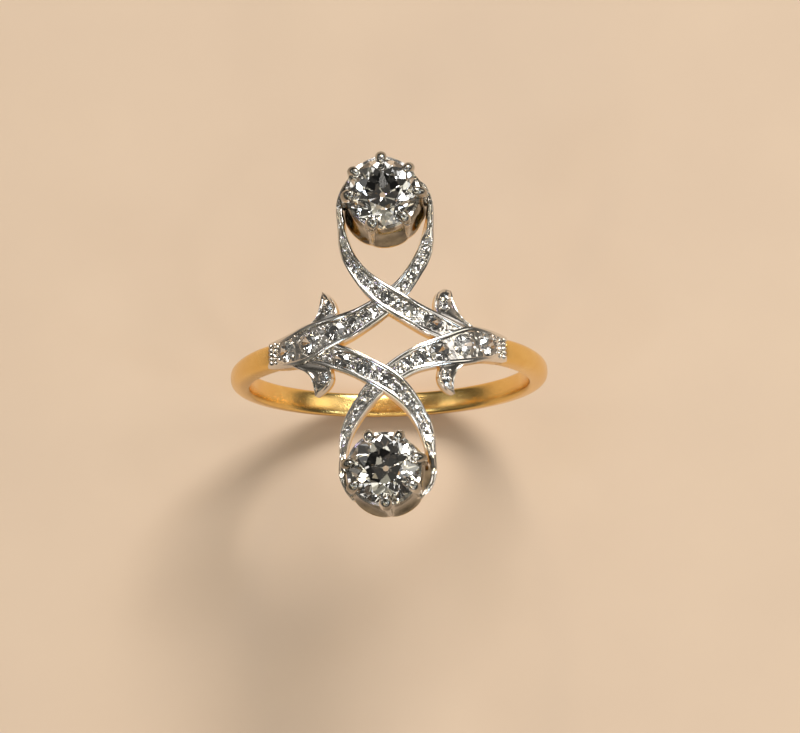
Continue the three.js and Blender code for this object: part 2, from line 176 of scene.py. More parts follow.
def head_point(x, y, radius):
    """Points of the head: x and y as seen from above on the face, and a radius from the finger's axis."""
    angle = np.arcsin(x / face_radius(x))
    lifted = radius + LOOP_RISE * smoothstep(np.abs(y), LOOP_RISE_START, LOOP_RISE_END)
    return np.stack([lifted * np.sin(angle), y + 0 * x, lifted * np.cos(angle)], axis=-1)


# ---- meshes
WELD = 1e-8  # metres


def to_object(name, points, faces):
    """A mesh object from points in millimetres."""
    mesh = bpy.data.meshes.new(name)
    mesh.from_pydata((np.asarray(points, float) * MM).tolist(), [], faces)
    mesh.validate()
    piece = bpy.data.objects.new(name, mesh)
    bpy.context.scene.collection.objects.link(piece)
    return piece


def loft(rings, closed=False):
    """Points and faces of a tube through rings of points, capped at its ends, or closed on itself."""
    count, around = rings.shape[:2]
    faces = []
    for i in range(count if closed else count - 1):
        here, there = i * around, (i + 1) % count * around
        for j in range(around):
            k = (j + 1) % around
            faces.append((here + j, here + k, there + k, there + j))
    if not closed:
        last = (count - 1) * around
        faces.append(tuple(range(around))[::-1])
        faces.append(tuple(last + j for j in range(around)))
    return rings.reshape(-1, 3), faces


def facing_out(piece):
    work = bmesh.new()
    work.from_mesh(piece.data)
    bmesh.ops.remove_doubles(work, verts=work.verts, dist=WELD)
    bmesh.ops.recalc_face_normals(work, faces=work.faces)
    if work.calc_volume(signed=True) < 0:
        bmesh.ops.reverse_faces(work, faces=work.faces)
    work.to_mesh(piece.data)
    work.free()
    return piece


def joined(name, parts):
    """One object from a list of (points, faces)."""
    points, faces, base = [], [], 0
    for part_points, part_faces in parts:
        points.append(part_points)
        faces += [tuple(base + i for i in face) for face in part_faces]
        base += len(part_points)
    return facing_out(to_object(name, np.concatenate(points), faces))


def combine(piece, other, operation):
    """Joins or cuts a closed mesh with another one."""
    change = piece.modifiers.new("combine", "BOOLEAN")
    change.operation = operation
    change.solver = "MANIFOLD"
    change.object = other
    done = bpy.data.meshes.new_from_object(piece.evaluated_get(bpy.context.evaluated_depsgraph_get()))
    piece.modifiers.clear()
    piece.data = done
    return piece


def discard(*pieces):
    for piece in pieces:
        bpy.data.objects.remove(piece)


def smooth(piece, angle=32):
    """Shades a piece smooth, but for edges sharper than an angle in degrees."""
    piece.data.shade_smooth()
    piece.data.set_sharp_from_angle(angle=math.radians(angle))
    return piece


def turned(profile, sides, stretch=1):
    """A solid turned about Z from (radius, height) pairs that start and end on it."""
    turns = np.arange(sides) * 2 * math.pi / sides
    rings = [
        np.stack([radius * stretch * np.cos(turns), radius * np.sin(turns), 0 * turns + height], axis=-1)
        for radius, height in profile[1:-1]
    ]
    return loft(np.array(rings))


LEAN_START = 3.5  # from mid head, along the finger
LEAN_FULL = 6.2
OUTWARD_LEAN = 0.038
LOWER_SHIFT = 0.14  # how far the lower collet stands to the left
SIDEWAYS_LEAN = 0.065
RIGHT_BULGE = 0.14


def leaned(piece, lower):
    """Leans both collets outwards and the lower one also to the left, and bulges the right of the loops."""
    points = np.empty(len(piece.data.vertices) * 3)
    piece.data.vertices.foreach_get("co", points)
    x, y, z = points.reshape(-1, 3).T / MM
    share = smoothstep(np.abs(y), LEAN_START, LEAN_FULL)
    new_y = y - np.sign(y) * share * OUTWARD_LEAN * np.clip(GIRDLE_Z - z, 0, None)
    new_x = x - lower * share * (LOWER_SHIFT + SIDEWAYS_LEAN * np.clip(z - BASE_Z, 0, None))
    new_x = new_x + RIGHT_BULGE * share * smoothstep(x, TOP_RADIUS, BASE_RADIUS)
    piece.data.vertices.foreach_set("co", (np.stack([new_x, new_y, z], axis=-1) * MM).ravel())
    piece.data.update()


def half_turned(piece, name):
    """The same piece on the other half of the head."""
    copy = bpy.data.objects.new(name, piece.data.copy())
    copy.data.transform(Matrix.Rotation(math.pi, 4, "Z"))
    bpy.context.scene.collection.objects.link(copy)
    leaned(copy, True)
    leaned(piece, False)
    return copy


# ---- ribbons
CURVE_SAMPLES = 40  # from one point of a path to the next


def curve_through(path, spacing=0.05):
    """Evenly spaced points of a centripetal Catmull-Rom curve through a path."""
    points = np.array(path, float)
    points = np.vstack([2 * points[0] - points[1], points, 2 * points[-1] - points[-2]])
    steps = np.linalg.norm(np.diff(points, axis=0), axis=1) ** 0.5
    samples = []
    for i in range(1, len(points) - 2):
        p0, p1, p2, p3 = points[i - 1 : i + 3]
        d0, d1, d2 = steps[i - 1 : i + 2]
        m1 = ((p1 - p0) / d0 - (p2 - p0) / (d0 + d1) + (p2 - p1) / d1) * d1
        m2 = ((p2 - p1) / d1 - (p3 - p1) / (d1 + d2) + (p3 - p2) / d2) * d1
        t = np.linspace(0, 1, CURVE_SAMPLES, endpoint=False)[:, None]
        samples.append(
            (2 * t**3 - 3 * t**2 + 1) * p1
            + (t**3 - 2 * t**2 + t) * m1
            + (3 * t**2 - 2 * t**3) * p2
            + (t**3 - t**2) * m2
        )
    fine = np.vstack(samples + [points[-2:-1]])
    gone = np.concatenate([[0], np.cumsum(np.linalg.norm(np.diff(fine[:, :2], axis=0), axis=1))])
    even = np.linspace(0, gone[-1], max(int(gone[-1] / spacing), 2))
    return np.stack([np.interp(even, gone, column) for column in fine.T], axis=-1)


def sides_of(curve):
    """Unit vectors that point to the left of a curve, seen from above."""
    heading = np.gradient(curve[:, :2], axis=0)
    heading /= np.linalg.norm(heading, axis=1)[:, None]
    return np.stack([-heading[:, 1], heading[:, 0]], axis=-1)


FACE_SPACING = 0.09
RIM_SHARE = 0.19  # of the ribbon's width
RIM_LEAST = 0.12
RIM_MOST = 0.27
RIM_CROWN = 0.03
RIM_COLUMNS = 5
RIM_END_LEAST = 0.45  # share of the half width
CHANNEL_DEPTH = 0.13
CHANNEL_START = 0.52  # ribbon widths
CHANNEL_FULL = 0.8
CHANNEL_WALL = 0.05
CHANNEL_LEAST = 0.3  # share of the half width
CHANNEL_COLUMNS = 11
CHANNEL_BULGE = 0.4  # how much lower the ridge lies at the channel's edge
NARROW_RIDGE = 0.05  # takes the channel's place on a narrow ribbon
EDGE_ROUND = 0.04


def face_section(width):
    """Offsets across a ribbon's face and heights there, with crowned rims and a sunken channel."""
    half = width / 2
    rim_end = np.maximum(half - np.clip(RIM_SHARE * width, RIM_LEAST, RIM_MOST), RIM_END_LEAST * half)
    depth = CHANNEL_DEPTH * smoothstep(width, CHANNEL_START, CHANNEL_FULL)
    ridge = NARROW_RIDGE * (1 - smoothstep(width, CHANNEL_START, CHANNEL_FULL))
    inner = np.maximum(rim_end - CHANNEL_WALL, CHANNEL_LEAST * half)
    across = [half, half - 0.3 * EDGE_ROUND]
    heights = [0 * width - EDGE_ROUND - RIM_CROWN, 0 * width - 0.35 * EDGE_ROUND - RIM_CROWN]
    for share in np.linspace(1, -1, RIM_COLUMNS):
        across.append(lerp(rim_end, half - EDGE_ROUND, (share + 1) / 2))
        heights.append(-RIM_CROWN * share**2 + 0.3 * ridge * (1 - share))
    for share in np.linspace(1, 0, CHANNEL_COLUMNS // 2 + 1):
        across.append(inner * share)
        heights.append((1 - CHANNEL_BULGE * share) * ridge - depth)
    across = across + [-a for a in across[-2::-1]]
    heights = heights + heights[-2::-1]
    return np.stack(across, axis=-1), np.stack(heights, axis=-1)


def strip_rings(curve, across, radii):
    """Rings of head points from offsets across a curve, with a radius for each."""
    left = sides_of(curve)
    x = curve[:, 0:1] + left[:, 0:1] * across
    y = curve[:, 1:2] + left[:, 1:2] * across
    return head_point(x, y, radii(x))


CHANNEL_CUTS = 0.04  # graver's marks on its floor
CUT_RANGE = (-1, 0.6)


def ribbon_face(name, path):
    """The white metal layer of a ribbon, closed by a flat underside."""
    curve = curve_through(path, FACE_SPACING)
    across, heights = face_section(curve[:, 2])
    cuts = np.random.default_rng(len(path)).uniform(*CUT_RANGE, heights.shape)
    columns = np.abs(np.arange(heights.shape[1]) - heights.shape[1] // 2)
    channel = (columns < CHANNEL_COLUMNS // 2)[None, :]
    opening = smoothstep(curve[:, 2:3], CHANNEL_START, CHANNEL_FULL)
    heights = heights + CHANNEL_CUTS * cuts * channel * opening
    lift = curve[:, 3:4]
    edge = across[:, :1]
    top = strip_rings(curve, across, lambda x: face_radius(x) + lift + heights)
    floor = np.concatenate([-edge, -0.5 * edge, 0 * edge, 0.5 * edge, edge], axis=1)
    bottom = strip_rings(curve, floor, lambda x: seam_radius(x) + SEAM + lift)
    return joined(name, [loft(np.concatenate([top, bottom], axis=1))])


BACK_ROUND = 0.1
BACK_FULLNESS = 0.98
LOOP_THINNING = 0.45
THINNING_START = 3.6  # from mid head, along the finger
THINNING_END = 6.6


def ribbon_back(name, path):
    """The yellow gold layer of a ribbon, rounded underneath and thinner along the loops."""
    curve = curve_through(path)
    lift = curve[:, 3:4]
    half = curve[:, 2:3] / 2
    top_across = np.concatenate([half, 0.5 * half, 0 * half, -0.5 * half, -half], axis=1)
    top = strip_rings(curve, top_across, lambda x: seam_radius(x) - SEAM + lift)
    shares = np.array([[1, 0.9, 0.6, 0.2, -0.2, -0.6, -0.9, -1]])
    drop = BACK_ROUND * (1 - np.sqrt(1 - BACK_FULLNESS * shares**2))
    drop = drop + LOOP_THINNING * smoothstep(np.abs(curve[:, 1:2]), THINNING_START, THINNING_END)
    bottom = strip_rings(curve, -half * shares, lambda x: back_radius(x) + drop)
    return joined(name, [loft(np.concatenate([top, bottom], axis=1))])


REACH = 1.5  # how far a cutter goes past the metal
ROOM_SPACING = 0.1


def ribbon_room(path):
    """The room a ribbon takes, for cutting what meets it."""
    curve = curve_through(path, ROOM_SPACING)
    half = curve[:, 2:3] / 2 + SEAM
    top = strip_rings(curve, np.concatenate([half, -half], axis=1), lambda x: face_radius(x) + REACH)
    bottom = strip_rings(curve, np.concatenate([-half, half], axis=1), lambda x: back_radius(x) - REACH)
    return joined("room", [loft(np.concatenate([top, bottom], axis=1))])


# ---- stones
def stone_place(path, x, y):
    """Where a small stone stands: its foot on the face and its axes, X along the ribbon and Z outwards."""
    curve = curve_through(path)
    nearest = int(np.argmin(np.hypot(curve[:, 0] - x, curve[:, 1] - y)))
    heading = np.gradient(curve[:, :2], axis=0)[nearest]
    lift = curve[nearest, 3]
    return seat_frame(x, y, math.atan2(heading[1], heading[0]), lift)


def seat_frame(x, y, turn, lift=0.0):
    """A place on the face with Z outwards, turned about Z."""
    foot = head_point(np.array(x), np.array(y), face_radius(x) + lift)
    tilt = math.asin(x / face_radius(x))
    return Matrix.Translation(Vector(foot)) @ Matrix.Rotation(tilt, 4, "Y") @ Matrix.Rotation(turn, 4, "Z")


def placed(points, matrix):
    grid = np.array(matrix)
    return np.asarray(points) @ grid[:3, :3].T + grid[:3, 3]


FACET_ANGLE = math.radians(0.6)  # triangles closer than this to one plane are one facet


def hull(name, points):
    """A cut stone: the convex hull of its corners, with flat facets."""
    piece = to_object(name, points, [])
    work = bmesh.new()
    work.from_mesh(piece.data)
    bmesh.ops.convex_hull(work, input=work.verts)
    bmesh.ops.dissolve_limit(work, angle_limit=FACET_ANGLE, verts=work.verts, edges=work.edges)
    bmesh.ops.recalc_face_normals(work, faces=work.faces)
    work.to_mesh(piece.data)
    work.free()
    return piece


def ring_of(count, radius, height, turn=0.0):
    angles = (np.arange(count) + turn) * 2 * math.pi / count
    return np.stack([radius * np.cos(angles), radius * np.sin(angles), 0 * angles + height], axis=-1)


# The cuts as shares of the stone's radius
MAIN_CUT = {
    "table": 0.52, "crown": 0.36, "pavilion": 0.87, "culet": 0.085, "star": 0.77, "lower": 0.42,
    "girdle": 0.034,
}
SMALL_CUT = {
    "table": 0.52, "crown": 0.32, "pavilion": 0.62, "culet": 0.07, "star": 0.77, "lower": 0.45,
    "girdle": 0.05,
}


def brilliant(radius, table, crown, pavilion, culet, star, lower, girdle):
    """Corners of an old-cut brilliant with 8 mains, from shares of its radius. Its girdle is at height 0."""
    edge = math.cos(math.pi / 8)
    star_height = crown * (1 - star * edge) / (1 - table)
    lower_height = pavilion * (1 - lower * edge) / (1 - culet)
    corners = [
        ring_of(8, table, crown + girdle / 2),
        ring_of(8, star, star_height + girdle / 2, 0.5),
        ring_of(16, 1, girdle / 2),
        ring_of(16, 1, -girdle / 2),
        ring_of(8, lower, -lower_height - girdle / 2, 0.5),
        ring_of(8, culet, -pavilion - girdle / 2),
    ]
    return np.concatenate(corners) * radius


def single_cut(radius, table=0.52, crown=0.3, pavilion=0.62, culet=0.05, girdle=0.06):
    """Corners of a small old cut with 8 crown and 8 pavilion facets."""
    corners = [
        ring_of(8, table, crown + girdle / 2),
        ring_of(8, 1, girdle / 2),
        ring_of(8, 1, -girdle / 2),
        ring_of(4, culet, -pavilion),
    ]
    return np.concatenate(corners) * radius


STONE_SINK = 0.1  # the girdle lies this far under the ribbon's rims
BRILLIANT_FROM = 0.6  # stones at least this big have the full set of facets


def cut_small_stone(name, place, radius, stretch, turn):
    if radius >= BRILLIANT_FROM:
        corners = brilliant(radius, **SMALL_CUT)
    else:
        corners = single_cut(radius)
    corners = placed(corners, Matrix.Rotation(turn, 4, "Z")) * [stretch, 1, 1] - [0, 0, STONE_SINK]
    return hull(name, placed(corners, place))


SEAT_GAP = 0.01
SEAT_SIDES = 28
SEAT_TOP = 1  # from the face
SEAT_BOTTOM = -2
LIGHT_HOLE = 0.55  # share of the stone's radius
LIGHT_HOLE_MOUTH = 0.8


def seat_cutter(place, radius, stretch, open_back):
    """A seat with a light hole under it, or a blind seat for a tiny stone."""
    wide = radius + SEAT_GAP
    if open_back:
        hole = LIGHT_HOLE * radius
        foot = [(0, SEAT_BOTTOM), (LIGHT_HOLE_MOUTH * radius, SEAT_BOTTOM), (hole, -0.75 * radius - 0.35)]
        seat = [(hole, -0.42 * radius - STONE_SINK), (wide, -STONE_SINK - 0.03)]
    else:
        foot = [(0, -1.2 * radius), (0.1 * radius, -0.8 * radius - STONE_SINK)]
        seat = [(wide, -STONE_SINK)]
    profile = [*foot, *seat, (wide, SEAT_TOP), (0, SEAT_TOP)]
    points, faces = turned(profile, SEAT_SIDES, stretch)
    return placed(points, place), faces


GRAIN_ROWS = 5
GRAIN_SIDES = 10
GRAIN_HEIGHT = 0.9  # share of its radius
GRAIN_DOME = (-0.2 * math.pi, 0.47 * math.pi)
GRAIN_OVERHANG = 0.35  # share of a grain's radius outside the girdle
GRAIN_FOOT = 0.7  # of its post, as shares of its radius
GRAIN_FOOT_LEAN = 0.5
GRAIN_ROOT = 0.27  # depth of its post in the metal
LEAF_GRAIN_ROOT = 0.42


def grain_of_metal(radius, outwards, root):
    """A domed grain on the post it was raised from, whose foot leans away from the stone."""
    lean = np.array([*(GRAIN_FOOT_LEAN * radius * np.array(outwards)), 0])
    foot = ring_of(GRAIN_SIDES, GRAIN_FOOT * radius, -root) + lean
    dome = [
        ring_of(GRAIN_SIDES, radius * math.cos(a), GRAIN_HEIGHT * radius * math.sin(a))
        for a in np.linspace(*GRAIN_DOME, GRAIN_ROWS)
    ]
    return loft(np.array([foot, *dome]))


def grains_round(place, radius, stretch, grain, angles, root=GRAIN_ROOT):
    parts = []
    for angle in angles:
        reach = radius + GRAIN_OVERHANG * grain
        outwards = (math.cos(angle), math.sin(angle))
        spot = Vector((reach * stretch * outwards[0], reach * outwards[1], -0.25 * STONE_SINK))
        points, faces = grain_of_metal(grain, outwards, root)
        parts.append((placed(points + np.array(spot), place), faces))
    return parts


# ---- collets
# How many degrees each claw stands from its even place, going round from the outermost
CLAW_TURNS = {"upper": (1, 3, -9, 8, 12, 11, 3), "lower": (3, 6, 3, -1, -3, 7, -10)}


def even_angles(count):
    return math.pi / 2 + np.arange(count) * 2 * math.pi / CLAWS


def claw_angles(half):
    return even_angles(CLAWS) + np.radians(CLAW_TURNS[half])


def bent_by_hand(points, half):
    """Turns each claw about the collet's axis to its own place, with the scallops between."""
    turns = np.radians(CLAW_TURNS[half] + CLAW_TURNS[half][:1])
    angles = np.arctan2(points[..., 1], points[..., 0])
    reach = np.hypot(points[..., 0], points[..., 1])
    past_first = (angles - math.pi / 2 + 1e-9) % (2 * math.pi)
    angles = angles + np.interp(past_first, even_angles(CLAWS + 1) - math.pi / 2, turns)
    return np.stack([reach * np.cos(angles), reach * np.sin(angles), points[..., 2]], axis=-1)


WALL_STEPS = 28  # from one claw to the next
WALL_ROWS = (0, 0.03, 0.08, 0.16, 0.26, 0.38, 0.5, 0.62, 0.74, 0.85, 0.93, 1.0)
FOOT_FLARE = 0.07
FOOT_FLARE_END = 0.25  # share of the wall's height, as are the ends below
FOOT_ROUND = 0.03
SCALLOP_DEPTH = 0.27
NOTCH_DEPTH = 0.09  # under each claw, at the foot
NOTCH_END = 0.3
RIM_DROP = 0.14  # how far the rim dips between the claws
RIM_DROP_START = 0.45
RIM_WIDTH = 0.13
BORE_STEP = 0.1


def collet_wall():
    """Scalloped cone with a bore, its flank hollowed and its rim dipped between the claws."""
    steps = CLAWS * WALL_STEPS
    angles = np.arange(steps) * 2 * math.pi / steps + math.pi / 2
    gap = np.abs(np.sin((angles - math.pi / 2) * CLAWS / 2))[:, None]
    height = RIM_Z - BASE_Z
    up = np.array(WALL_ROWS)[None, :]
    flare = FOOT_FLARE * (1 - smoothstep(up, 0, FOOT_FLARE_END))
    cone = lerp(BASE_RADIUS, TOP_RADIUS, up) + flare - FOOT_ROUND * (up == 0)
    hollow = SCALLOP_DEPTH * gap**0.9 * np.sin(math.pi * np.clip(up * 0.93 + 0.02, 0, 1) ** 0.75)
    notch = NOTCH_DEPTH * (1 - gap) ** 3 * (1 - smoothstep(up, 0, NOTCH_END))
    rim_drop = RIM_DROP * gap**1.6
    z = BASE_Z + height * up - rim_drop * smoothstep(up, RIM_DROP_START, 1)
    top, level = z[:, -1:], 0 * z[:, -1:]
    inner = [
        (level + TOP_RADIUS - RIM_WIDTH - BORE_STEP * gap, top + 0.015),
        (level + BORE_RADIUS + BORE_STEP, top - 0.7),
        (level + BORE_RADIUS, level + BASE_Z + 1.2),
        (level + BORE_RADIUS, level + BASE_Z),
    ]
    radius = np.concatenate([cone - hollow - notch, *[r for r, _ in inner]], axis=1)
    z = np.concatenate([z + 0 * gap, *[inner_z for _, inner_z in inner]], axis=1)
    rings = np.stack([radius * np.cos(angles)[:, None], radius * np.sin(angles)[:, None], z], axis=-1)
    return loft(rings, closed=True)


CLAW_STRETCH = 1.12  # width across over width along the collet's radius
CLAW_SIDES = 12
CLAW_TIP = 0.48 * math.pi
CLAW_TIP_ROWS = 4
# A claw's middle line as (distance from the collet's axis, height, radius)
CLAW_PATH = [
    (2.3, 10.04, 0.12), (2.32, 10.6, 0.15), (2.3, 11.4, 0.18), (2.3, 12.2, 0.21), (2.29, 12.8, 0.24),
    (2.27, 13.12, 0.28), (2.19, 13.38, 0.31), (2.08, 13.54, 0.31), (1.97, 13.58, 0.28),
]


def claw(i):
    """A tapering rod up the collet's flank, with a rounded tip over the stone."""
    line = curve_through([(r, z, radius, 0) for r, z, radius in CLAW_PATH], 0.1)
    left = sides_of(line)
    heading = np.array([left[-1, 1], -left[-1, 0]])
    rings = [(point[:2], point[2], out) for point, out in zip(line, -left)]
    end, end_radius = line[-1, :2], line[-1, 2]
    for bend in np.linspace(0, 1, CLAW_TIP_ROWS + 1)[1:] * CLAW_TIP:
        tip = end + heading * end_radius * math.sin(bend)
        rings.append((tip, end_radius * math.cos(bend), -left[-1]))
    turns = np.arange(CLAW_SIDES) * 2 * math.pi / CLAW_SIDES
    points = []
    for centre, radius, out in rings:
        r = centre[0] + radius * np.cos(turns) * out[0]
        z = centre[1] + radius * np.cos(turns) * out[1]
        points.append(np.stack([r, CLAW_STRETCH * radius * np.sin(turns), z], axis=-1))
    points, faces = loft(np.array(points))
    return placed(points, Matrix.Rotation(even_angles(CLAWS)[i], 4, "Z")), faces


COLLET_MIDDLES = {"upper": (0, COLLET_Y, 0), "lower": (-LOWER_SHIFT, -COLLET_Y, 0)}
WALL_TOP = 13.02  # under this height the flank is painted darker as shade; the rim above keeps the bright metal
CLAW_MARGIN = 0.05


def shade_wall(piece, half):
    """Paints the collet's flank under its bright rim darker as painted shade, and its claws darker as
    painted dark reflections.
    """
    piece.data.materials.append(PAINTED_SHADE_WALL)
    piece.data.materials.append(PAINTED_SHADE_CLAW_METAL)
    middle = Vector(COLLET_MIDDLES[half])
    _, heights, radii = zip(*CLAW_PATH)
    for face in piece.data.polygons:
        spot = (face.center / MM - middle) * np.sign(middle.y)
        height = face.center.z / MM
        reach = math.hypot(spot.x, spot.y)
        past = (math.atan2(spot.y, spot.x) - claw_angles(half) + math.pi) % (2 * math.pi) - math.pi
        wide = np.interp(height, heights, radii) * CLAW_STRETCH
        outside = reach > BORE_RADIUS + BORE_STEP
        is_claw = outside and np.abs(past).min() * reach < wide + CLAW_MARGIN
        face.material_index = 2 if is_claw else int(height < WALL_TOP)


MAIN_STONE_GAP = 0.015


def collet(half):
    """A collet with its claws bent over the stone, on the upper half."""
    piece = joined(f"collet_{half}_scalloped", [collet_wall()])
    claws = joined("claws", [claw(i) for i in range(CLAWS)])
    combine(piece, claws, "UNION")
    points = np.empty(len(piece.data.vertices) * 3)
    piece.data.vertices.foreach_get("co", points)
    points = bent_by_hand(points.reshape(-1, 3), half)
    piece.data.vertices.foreach_set("co", points.ravel())
    stone = hull("room", brilliant(GIRDLE_RADIUS + MAIN_STONE_GAP, **MAIN_CUT) + [0, 0, GIRDLE_Z])
    combine(piece, stone, "DIFFERENCE")
    discard(claws, stone)
    piece.data.transform(Matrix.Translation((0, COLLET_Y * MM, 0)))
    return smooth(piece, 38)


RING_STEPS = 16  # from one claw to the next
RING_DENT = 0.07
RING_MARGIN = 0.02
RING_CHAMFER = 0.14


def collet_ring(half):
    """Gold ring under the collet, lightly scalloped like it."""
    steps = CLAWS * RING_STEPS
    angles = np.arange(steps) * 2 * math.pi / steps
    dent = 1 - np.abs(np.sin(angles * CLAWS / 2 - math.pi * CLAWS / 4))[:, None]
    low, high = BASE_Z - RING_HEIGHT, BASE_Z - SEAM
    outer = BASE_RADIUS + RING_MARGIN - RING_DENT * dent**3
    bore = outer * 0 + (BORE_RADIUS - BORE_STEP)
    radius = np.concatenate([bore, outer - RING_CHAMFER, outer - 0.04, outer, outer, bore], axis=1)
    z = np.array([[low, low, low + 0.05, low + 0.16, high, high]]) + 0 * dent
    rings = np.stack([radius * np.cos(angles)[:, None], radius * np.sin(angles)[:, None], z], axis=-1)
    piece = joined(f"collet_ring_{half}_rounded", [loft(bent_by_hand(rings, half), closed=True)])
    piece.data.transform(Matrix.Translation((0, COLLET_Y * MM, 0)))
    return smooth(piece)


FOOT_GAP = 0.03
RIM_GAP = 0.1


def collet_room():
    """The room a collet takes, for the loops that end against it."""
    profile = [
        (0, BASE_Z - REACH),
        (BASE_RADIUS + FOOT_GAP, BASE_Z - REACH),
        (BASE_RADIUS + FOOT_GAP, BASE_Z),
        (TOP_RADIUS + RIM_GAP, RIM_Z),
        (0, RIM_Z),
    ]
    points, faces = turned(profile, CLAWS * 8)
    return joined("room", [(points + [0, COLLET_Y, 0], faces)])


# ---- leaves
LEAF_SPACING = 0.02
LEAF_DROOP = 0.8  # how far a leaf's tip bends down
LEAF_ROWS = 60
LEAF_STONE_SINK = 0.06
LEAF_EDGE = 0.05  # widths across a leaf: its rounded edge and its rim
LEAF_RIM = 0.15
LEAF_THINNING = 0.3  # of the gold back
LEAF_TIP_THINNING = 0.2
LEAF_BACK_ROUND = 0.06
LEAF_TIP = 0.985  # share of its length where it is cut off


def leaf_sides(shape):
    """A leaf's two edges as rows of points from its base to its tip."""
    sides = []
    for side in ("inner", "outer"):
        curve = curve_through([(x, y, 0, 0) for x, y in shape[side]], LEAF_SPACING)
        rows = np.linspace(0, LEAF_TIP * (len(curve) - 1), LEAF_ROWS)
        steps = np.arange(len(curve))
        sides.append(np.stack([np.interp(rows, steps, curve[:, k]) for k in (0, 1)], axis=-1))
    return sides


def leaf_rings(shape, across, radii):
    """Rings of points across a leaf, from -1 at its inner edge to 1, with a radius for each."""
    near, far = leaf_sides(shape)
    share = (across + 1) / 2
    x = near[:, 0:1] * (1 - share) + far[:, 0:1] * share
    y = near[:, 1:2] * (1 - share) + far[:, 1:2] * share
    points = head_point(x, y, radii(x))
    points[..., 2] -= LEAF_DROOP * np.linspace(0, 1, LEAF_ROWS)[:, None] ** 2
    return points


def leaf_face(name, shape):
    """A thorn-shaped leaf: thick rims, a dished middle and a keel that rises towards the tip."""
    near, far = leaf_sides(shape)
    width = np.linalg.norm(near - far, axis=1)[:, None]
    along = np.linspace(0, 1, LEAF_ROWS)[:, None]
    edge = np.clip(LEAF_EDGE / width, 0, 0.2)
    rim = np.clip(LEAF_RIM / width, 0.1, 0.5)
    foot = np.minimum(2.5 * rim - 1, -0.12)
    rim_end = np.minimum(2 * rim - 1, -0.2)
    across = [0 * edge - 1, 2 * edge - 1, rim - 1, rim_end, foot, 0.5 * foot, 0 * rim]
    across = np.concatenate(across, axis=1)
    dish = shape["dish"] * (1 - smoothstep(along, 0.6, 0.95))
    keel = shape["keel"] * smoothstep(along, 0.45, 0.8)
    level = 0 * dish
    rim_heights = [level - 0.05, level - 0.015, level + 0.015, level - 0.015]
    heights = np.concatenate([*rim_heights, -dish, 0.4 * keel - dish, keel - dish], axis=1)
    across = np.concatenate([across, -across[:, -2::-1]], axis=1)
    heights = np.concatenate([heights, heights[:, -2::-1]], axis=1)
    top = leaf_rings(shape, across, lambda x: face_radius(x) + heights)
    floor = np.array([[1, 0.5, 0, -0.5, -1]]) + 0 * width
    bottom = leaf_rings(shape, floor, lambda x: seam_radius(x) + SEAM)
    return joined(name, [loft(np.concatenate([top, bottom], axis=1))])


def leaf_back(name, shape):
    flat = np.array([[-1, -0.5, 0, 0.5, 1]]) + np.zeros((LEAF_ROWS, 1))
    top = leaf_rings(shape, flat, lambda x: seam_radius(x) - SEAM)
    along = np.linspace(0, 1, LEAF_ROWS)[:, None]
    rise = LEAF_THINNING + LEAF_BACK_ROUND * flat**2 + LEAF_TIP_THINNING * along**2
    bottom = leaf_rings(shape, -flat, lambda x: back_radius(x) + rise)
    return joined(name, [loft(np.concatenate([top, bottom], axis=1))])


# ---- shank
SHANK_ROWS = 240
SHANK_SIDES = 40
SHANK_FLATTENING = 0.5  # radians from the shoulders


def shank(name):
    """D section carried round the finger; it flattens a little where it meets the shoulders."""
    start = math.asin(SHOULDER_X / HOOP_RADIUS) + SEAM / HOOP_RADIUS
    angles = np.linspace(start, 2 * math.pi - start, SHANK_ROWS)[:, None]
    bottom = (1 - np.cos(angles)) / 2
    from_end = np.minimum(angles - start, 2 * math.pi - start - angles)
    flat = 1 - smoothstep(from_end, 0, SHANK_FLATTENING)
    half = lerp(SHANK_WIDTH_TOP, SHANK_WIDTH_BOTTOM, bottom) / 2
    turns = (np.arange(SHANK_SIDES) * 2 * math.pi / SHANK_SIDES)[None, :]
    across, out = np.sin(turns), np.cos(turns)
    # Superellipse powers for the crown, the inner edge and the sides
    power = np.where(out > 0, lerp(0.85, 0.5, flat), 0.55)
    height = np.where(out > 0, HOOP_RADIUS - FINGER_RADIUS - SHANK_FLANK, SHANK_FLANK)
    radius = FINGER_RADIUS + SHANK_FLANK + np.sign(out) * np.abs(out) ** power * height
    y = half * np.sign(across) * np.abs(across) ** lerp(0.8, 0.6, flat)
    rings = np.stack([radius * np.sin(angles), y, radius * np.cos(angles)], axis=-1)
    return smooth(joined(name, [loft(rings)]), 50)


# ---- materials
def node_material(name):
    material = bpy.data.materials.new(name)
    material.use_nodes = True
    nodes, links = material.node_tree.nodes, material.node_tree.links
    return material, nodes, links, nodes["Principled BSDF"]


def noise(nodes, links, vector, scale, detail, roughness=0.55):
    node = nodes.new("ShaderNodeTexNoise")
    node.inputs["Scale"].default_value = scale
    node.inputs["Detail"].default_value = detail
    node.inputs["Roughness"].default_value = roughness
    links.new(vector, node.inputs["Vector"])
    return node.outputs["Fac"]


def remapped(nodes, links, value, low, high, start=0.3, end=0.7):
    """A value between start and end carried over to between low and high."""
    node = nodes.new("ShaderNodeMapRange")
    node.inputs["From Min"].default_value = start
    node.inputs["From Max"].default_value = end
    node.inputs["To Min"].default_value = low
    node.inputs["To Max"].default_value = high
    links.new(value, node.inputs["Value"])
    return node.outputs["Result"]


def blended(nodes, links, share, low, high):
    node = nodes.new("ShaderNodeMix")
    node.data_type = "RGBA"
    node.inputs["A"].default_value = (*low, 1)
    node.inputs["B"].default_value = (*high, 1)
    links.new(share, node.inputs["Factor"])
    return node.outputs["Result"]


SCRATCH_SCALE = 9000  # noise scales are per metre
POLISH_WEAR = 0.03


